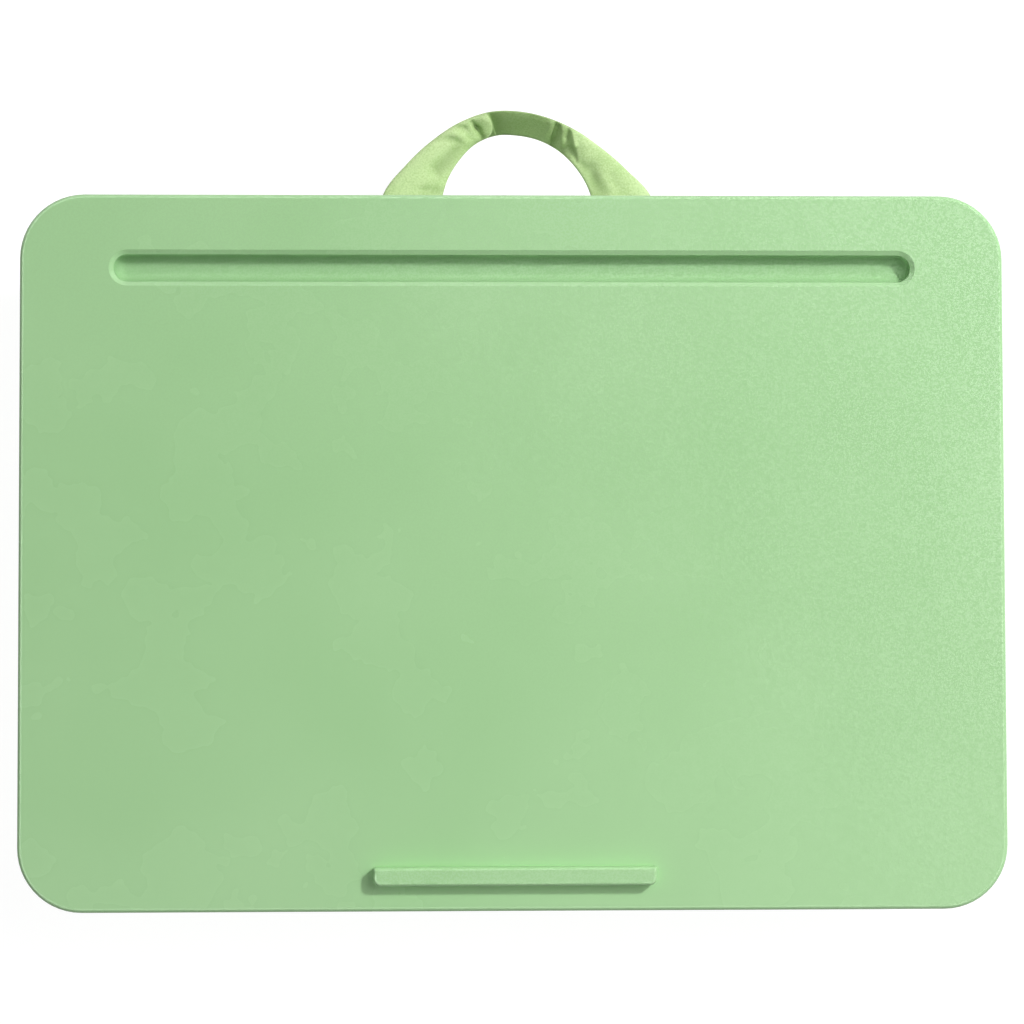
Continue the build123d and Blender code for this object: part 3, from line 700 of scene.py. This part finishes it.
def lap_cushion():
    """Bead-filled cushion: blown up from its cut shape, flat on its underside where it rests and on
    its top where the board lies on it."""
    pillow = pillow_start()
    remesh = pillow.modifiers.new("remesh", "REMESH")
    remesh.mode = "VOXEL"
    remesh.voxel_size = VOXEL * MM
    pillow = settled(pillow, "pillow_even")
    pillow = blow_up(pillow)
    refine = pillow.modifiers.new("refine", "SUBSURF")
    refine.levels = refine.render_levels = 1
    pillow = settled(pillow, "lap_cushion")
    points = seam_puckers(read_points(pillow))
    room = np.array(cover_high[:2]) + CLOTH_ROOM * MM
    points[:, :2] = np.clip(points[:, :2], -room, room)
    points[:, 2] = np.clip(points[:, 2], 0, PILLOW_TOP * MM)
    pillow.data.vertices.foreach_set("co", points.ravel())
    pillow.data.shade_smooth()
    pillow.data.materials.clear()
    lay_weave(pillow)
    return pillow


def tube_round(name, path, out, radius, lip, sides):
    """Closed tube along a closed flat path, in the plane of out and up: half a circle of the given
    radius on its outer side, half an ellipse that reaches in by lip on its inner side."""
    count = len(path)
    turn = np.linspace(0, 2 * np.pi, sides, endpoint=False)
    reach = np.where(np.cos(turn) > 0, radius, lip)
    ring_out = (reach * np.cos(turn))[None, :, None] * out[:, None, :]
    up = np.array([0, 0, 1.0])
    ring_up = radius * np.sin(turn)[None, :, None] * up
    points = path[:, None, :] + ring_out + ring_up
    length = np.arange(count) * np.linalg.norm(path[1] - path[0])
    uv = np.stack([np.repeat(length, sides), np.tile(turn * radius, count)], axis=1) * MM
    return mesh_object(name, points.reshape(-1, 3) * MM,
                       grid_faces(count, sides, wrap_rows=True, wrap_columns=True)[:, ::-1], uv)


def seam_piping():
    """Corded edging all round the cushion, with a lip that is sewn into the seam."""
    count, sides = 680, 18
    ring, out = outline(beyond_board(SEAM_MARGIN), SEAM_RADIUS, count, SEAM_PULL)
    path = np.column_stack([ring + out * PIPING_STANDS_OUT, np.full(count, SEAM_Z)])
    flat_out = np.column_stack([out, np.zeros(count)])
    return tube_round("seam_piping", path, flat_out, PIPING_RADIUS, PIPING_LIP, sides)


def cover_hem():
    """The cover's turned-over edge: up the board's side, over its top and in by the hem's width, with
    a cut edge that two sines make uneven. Where each handle tab passes it stays below the tab and
    isn't turned in."""
    count = 720
    ring, out = outline(NECK_HALF, NECK_RADIUS, count)
    notch_half = tab_half + 1.0
    notch = np.zeros(count)
    for side in tabs:
        away = np.abs(ring[:, 0] - tab_middle(side))
        notch = np.maximum(notch, smooth_step(away, notch_half + 2.0, notch_half) * (ring[:, 1] > 0))
    top = tray_low[2] / MM - 0.02
    step = np.arange(count) * 2 * np.pi
    wave = 0.8 * np.sin(step / 23) + 0.5 * np.sin(step / 13.1)
    wide = (HEM_WIDTH + wave) * (1 - notch) + CLOTH_THICK * notch
    high = top - (top - tab_low[2] / MM + 0.15) * notch
    under = high - CLOTH_THICK + 0.05
    foot, wall = PILLOW_TOP - HEM_FOOT, CLOTH_THICK - 0.02
    section = (  # inset from the neck's outline, and height
        (2.2, foot), (0.4, foot + 1.0), (0.0, foot + 2.6), (0.0, high - 0.5), (0.15, high - 0.15),
        (0.5, high), (wide - 0.3, high), (wide, high - 0.5), (wide, under), (wall, under),
        (wall, foot + 2.3), (3.4, foot))
    rows = [np.column_stack([ring - out * (inset + np.zeros(count))[:, None], z + np.zeros(count)])
            for inset, z in section]
    points = np.stack(rows, axis=1)
    length = np.arange(count) * np.linalg.norm(ring[1] - ring[0])
    drop = np.arange(len(section)) * 3.0
    uv = np.stack([np.repeat(length, len(section)), np.tile(drop, count)], axis=1) * MM
    faces = grid_faces(count, len(section), wrap_rows=True, wrap_columns=True)[:, ::-1]
    return mesh_object("cover_hem", points.reshape(-1, 3) * MM, faces, uv)


def stitch_rows():
    """Lines of thread across each foot of the handle: short humps, each a tube of six sides, bowed by
    a parabola and drawn in at its ends."""
    sides, along = 6, 7
    t = np.linspace(-1, 1, along)
    turn = np.linspace(0, 2 * np.pi, sides, endpoint=False)
    thick = THREAD_RADIUS * np.sqrt(np.clip(1 - t ** 4, 0.04, 1))[:, None]
    bow = THREAD_BOW * (1 - t ** 2)[:, None]
    hump = np.stack([np.repeat(t * STITCH_LENGTH / 2, sides), (thick * np.cos(turn)).ravel(),
                     (thick * np.sin(turn) + bow).ravel()], axis=1)
    under = tab_low[2] / MM - 0.05
    places = []
    for low, high in tabs.values():
        xs = np.arange(low[0] / MM + 3.0, high[0] / MM - 3.0, STITCH_PITCH)
        for row_y in STITCH_ROWS_Y:
            places.append(np.column_stack([xs, np.full(len(xs), row_y), np.full(len(xs), under)]))
    places = np.concatenate(places)
    points = (places[:, None, :] + hump[None] * np.array([1, 1, -1])).reshape(-1, 3)
    quads = grid_faces(along, sides, wrap_columns=True)
    ends = [list(range(sides)), list(range((along - 1) * sides, along * sides))[::-1]]
    faces = [list(np.asarray(f) + k * len(hump)) for k in range(len(places)) for f in [*quads, *ends]]
    uv = np.tile(hump[:, :2], (len(places), 1)) * MM
    return mesh_object("foot_stitches", points * MM, faces, uv)


# ---------------------------------------------------------------- light, floor and camera
# lamps in metres, degrees and watts
KEY_DISTANCE = 2.0
KEY_SIZE = 0.22
KEY_AZIMUTH = 35.0
KEY_HEIGHT = 45.0
KEY_POWER = 26.2
BOX_PLACE = (1.03, 0.46, 1.7)
BOX_SIZE = 1.34
BOX_POWER = 17.5
# the room's even light on the object
ROOM_LEVEL = 0.2
# metres, degrees and millimetres
CAMERA_PLACE = (-0.05073, -0.0599, 1.5781)
CAMERA_TILT = (2.9732, -1.9024, -0.1493)
CAMERA_LENS = 116.72
# metres
FLOOR_HALF = 6.0
# how far the floor lies under the cushion
FLOOR_GAP = 0.3
FLOOR_GLOW = 0.945
# bright ceiling panels: axis and side, where each starts and stops in ceiling heights, and its level
CEILING_PANELS = (
    ("X", -1.0, 0.33, 1.4, 8.0),
    ("X", 1.0, 0.5, 0.8, 3.0),
    ("Y", -1.0, 0.06, 1.0, 4.5),
    ("Y", 1.0, 0.45, 1.6, 5.5),
)
CEILING_LEVEL = 0.25


def area_lamp(name, shape, size, power, place, mirrored=True):
    """An area lamp turned to the middle of the desk's top, shown in glossy skins where mirrored."""
    lamp = bpy.data.lights.new(name, "AREA")
    lamp.shape = shape
    lamp.size = size
    lamp.energy = power
    made = bpy.data.objects.new(name, lamp)
    toward = np.array(place) - np.array([0.0, 0.0, deck_high[2]])
    made.visible_glossy = mirrored
    made.location = place
    made.rotation_euler = (math.atan2(math.hypot(toward[0], toward[1]), toward[2]), 0,
                           math.atan2(toward[1], toward[0]) + math.pi / 2)
    bpy.context.scene.collection.objects.link(made)


def lamps():
    """A small key lamp to the rear right, for the shadows, and a broad soft box over the right side,
    which veils the right of the deck in its reflection."""
    azimuth, height = math.radians(KEY_AZIMUTH), math.radians(KEY_HEIGHT)
    key = (KEY_DISTANCE * math.cos(azimuth) * math.cos(height),
           KEY_DISTANCE * math.sin(azimuth) * math.cos(height),
           KEY_DISTANCE * math.sin(height) + deck_high[2])
    area_lamp("key_lamp", "DISK", KEY_SIZE, KEY_POWER, key, False)
    area_lamp("soft_box", "SQUARE", BOX_SIZE, BOX_POWER, BOX_PLACE)


def seen_by_eye(tree, mirrored=True):
    """1 for rays that should meet a white surround: straight, through glass and, where asked,
    mirrored."""
    path = add(tree, "ShaderNodeLightPath")
    total = add(tree, "ShaderNodeMath", {0: path.outputs["Is Camera Ray"],
                                         1: path.outputs["Is Transmission Ray"]}, use_clamp=True)
    if mirrored:
        total = add(tree, "ShaderNodeMath", {0: total.outputs[0], 1: path.outputs["Is Glossy Ray"]},
                    use_clamp=True)
    return total.outputs[0]


def soft_step(tree, value, low, high):
    """0 at low and 1 at high with a smooth S between them."""
    made = add(tree, "ShaderNodeMapRange", {"Value": value, "From Min": low, "From Max": high},
               interpolation_type="SMOOTHSTEP")
    return made.outputs["Result"]


def reflected_ceiling(tree):
    """Bright ceiling panels round a dark opening over the desk, as mirrored rays meet them. A
    direction is carried up to a ceiling at unit height, and each panel is a band with soft edges
    there. The panels fade near the walls, which are dimmer, the rear one least so."""
    where = add(tree, "ShaderNodeTexCoord").outputs["Generated"]
    split = add(tree, "ShaderNodeSeparateXYZ", {"Vector": where})
    up = maths(tree, "MAXIMUM", split.outputs["Z"], 0.02)
    level = None
    for axis, sign, start, stop, strength in CEILING_PANELS:
        away = maths(tree, "MULTIPLY", maths(tree, "DIVIDE", split.outputs[axis], up), sign)
        band = maths(tree, "MULTIPLY", soft_step(tree, away, start, start + 0.14),
                     soft_step(tree, away, stop + 0.3, stop))
        panel = maths(tree, "MULTIPLY", band, strength)
        level = maths(tree, "MAXIMUM", level, panel) if level else panel
    overhead = soft_step(tree, split.outputs["Z"], 0.5, 0.68)
    above = maths(tree, "MULTIPLY_ADD", level, overhead, CEILING_LEVEL)
    walls = maths(tree, "MULTIPLY_ADD", soft_step(tree, split.outputs["Y"], 0.2, 0.6), 2.2, 0.4)
    return maths(tree, "MULTIPLY_ADD", walls, soft_step(tree, split.outputs["Z"], 0.65, 0.4), above)


def white_surround():
    """Even white room: full white to the eye, a plain level of light on the object, and ceiling
    panels in its reflections, which draw the bright lines along the rounded edges."""
    world = bpy.data.worlds.new("white_room")
    world.use_nodes = True
    tree = world.node_tree
    tree.nodes.clear()
    path = add(tree, "ShaderNodeLightPath")
    level = add(tree, "ShaderNodeMapRange", {"Value": seen_by_eye(tree, False),
                                             "To Min": ROOM_LEVEL, "To Max": 1.0})
    gloss = add(tree, "ShaderNodeMix", {0: path.outputs["Is Glossy Ray"], 2: level.outputs["Result"],
                                        3: reflected_ceiling(tree)})
    sky = add(tree, "ShaderNodeBackground", {"Color": (1, 1, 1, 1), "Strength": gloss.outputs[0]})
    out = add(tree, "ShaderNodeOutputWorld")
    tree.links.new(sky.outputs["Background"], out.inputs["Surface"])
    bpy.context.scene.world = world


def paper_floor():
    """White paper sweep under the desk. It shows white to the eye and keeps a faint shadow."""
    corners = np.array([[-1, -1, 0], [1, -1, 0], [1, 1, 0], [-1, 1, 0]], float) * FLOOR_HALF
    corners[:, 2] = -FLOOR_GAP * MM
    floor = mesh_object("paper_floor", corners, [[0, 1, 2, 3]])
    material = bpy.data.materials.new("white_paper")
    material.use_nodes = True
    tree = material.node_tree
    tree.nodes.clear()
    paper = add(tree, "ShaderNodeBsdfDiffuse", {"Color": (0.8, 0.8, 0.8, 1)})
    shade = add(tree, "ShaderNodeBsdfDiffuse", {"Color": (0.2, 0.2, 0.2, 1)})
    glow = add(tree, "ShaderNodeEmission", {"Color": (1, 1, 1, 1), "Strength": FLOOR_GLOW})
    shown = add(tree, "ShaderNodeAddShader", {0: shade.outputs["BSDF"], 1: glow.outputs["Emission"]})
    mix = add(tree, "ShaderNodeMixShader", {0: seen_by_eye(tree), 1: paper.outputs["BSDF"],
                                            2: shown.outputs["Shader"]})
    out = add(tree, "ShaderNodeOutputMaterial")
    tree.links.new(mix.outputs["Shader"], out.inputs["Surface"])
    floor.data.materials.append(material)


def camera():
    """Looks almost straight down on the desk."""
    view = bpy.data.cameras.new("camera")
    view.lens = CAMERA_LENS
    view.sensor_width = 36.0
    view.clip_end = 50.0
    made = bpy.data.objects.new("camera", view)
    made.location = CAMERA_PLACE
    made.rotation_euler = [math.radians(a) for a in CAMERA_TILT]
    bpy.context.scene.collection.objects.link(made)
    bpy.context.scene.camera = made


# ---------------------------------------------------------------- put it together
def dress(node, material):
    """Give a CAD node its finish."""
    mesh = frame["nodes"][node].data
    mesh.materials.clear()
    mesh.materials.append(material)


def finish_solids():
    """Finishes of the CAD nodes."""
    dress("deck_lid", moulded_polypropylene("moulded_polypropylene_deck", 0.8, 0.018, 0.27, 0.55))
    dress("device_ledge", moulded_polypropylene("moulded_polypropylene_ledge", 0.8, 0.01, 0.35))
    tray_skin = moulded_polypropylene("moulded_polypropylene_tray", 1.0, 0.05, 0.35)
    for name in ("storage_tray", "divider_panel"):
        dress(name, tray_skin)
    steel = brushed_steel("zinc_plated_steel", ZINC_GREY, 0.35)
    for name in ("hinge_pin_left", "hinge_pin_right", "strike_plates", "strike_screws",
                 "board_screws", "cover_staples"):
        dress(name, steel)
    dress("lid_magnets", brushed_steel("nickel_plated_magnet", NICKEL_WHITE, 0.2))
    dress("cushion_board", raw_fibreboard("fibreboard"))
    dress("rim_bumpers", soft_rubber("silicone_rubber"))


def add_handle():
    """The carrying handle, whose strap runs from the cushion to its loop at the height of the swing line."""
    handle = carrying_handle()
    handle.data.materials.append(woven_polyester("satin_polyester_handle", SATIN_GREEN, 0.6, 0.05, 0.2, 0.7))
    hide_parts("handle_tab_left", "handle_tab_right", "handle_strap", "handle_padding")
    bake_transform(handle)


def add_cushion():
    """The cushion, its piping and hem, and the stitches at the handle's feet, which all stay still."""
    cushion_cloth = woven_polyester("satin_polyester_cushion", SATIN_GREEN, 0.6, 0.05, 0.2)
    thread = woven_polyester("polyester_thread", THREAD_GREEN, 0.5, 0.03, 0.15)
    pillow, piping, hem, stitches = lap_cushion(), seam_piping(), cover_hem(), stitch_rows()
    for piece, cloth in ((pillow, cushion_cloth), (piping, cushion_cloth), (hem, cushion_cloth),
                         (stitches, thread)):
        piece.data.materials.append(cloth)
        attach(piece, "root")
    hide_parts("cushion_bottom_panel", "bead_bag")
    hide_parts("cushion_side_band")


def main():
    white_surround()
    paper_floor()
    lamps()
    camera()
    finish_solids()
    add_handle()
    add_cushion()

    bpy.context.scene.view_settings.view_transform = "Standard"


main()
